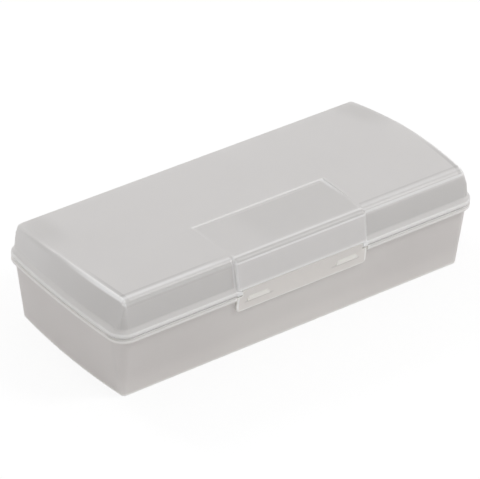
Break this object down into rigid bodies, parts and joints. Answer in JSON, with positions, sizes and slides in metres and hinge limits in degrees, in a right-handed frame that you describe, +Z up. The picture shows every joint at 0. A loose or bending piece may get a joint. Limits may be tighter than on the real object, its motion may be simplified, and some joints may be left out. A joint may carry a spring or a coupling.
{
  "type": "sewing machine attachment box",
  "caption": "Frosted plastic box with a crowned hinged lid, bowed ends and a front latch flap, for holding sewing machine attachments",
  "frame": {"origin": "middle of the base, on the surface that the box stands on", "axes": "+X along the box's length, -Y out of the front with the latch, +Z up"},
  "size_m": [0.19, 0.0891, 0.0486],
  "materials": {
    "frosted_plastic": "frosted, slightly milky natural polypropylene",
    "pin_steel": "drawn steel wire"
  },
  "bodies": {
    "tray_body": {"tray": "frosted_plastic", "hinge_pin_left": "pin_steel", "hinge_pin_right": "pin_steel"},
    "lid_body": {"lid": "frosted_plastic"},
    "latch_body": {"latch_flap": "frosted_plastic"}
  },
  "joints": [
    {"name": "lid_hinge", "type": "hinge", "parent": "tray_body", "child": "lid_body", "pos_m": [0, 0.0446, 0.03138], "axis": [-1, 0, 0], "range_deg": [0, 110]},
    {"name": "latch_hinge", "type": "hinge", "parent": "lid_body", "child": "latch_body", "pos_m": [0, -0.0406, 0.03245], "axis": [-1, 0, 0], "range_deg": [0, 30]}
  ]
}
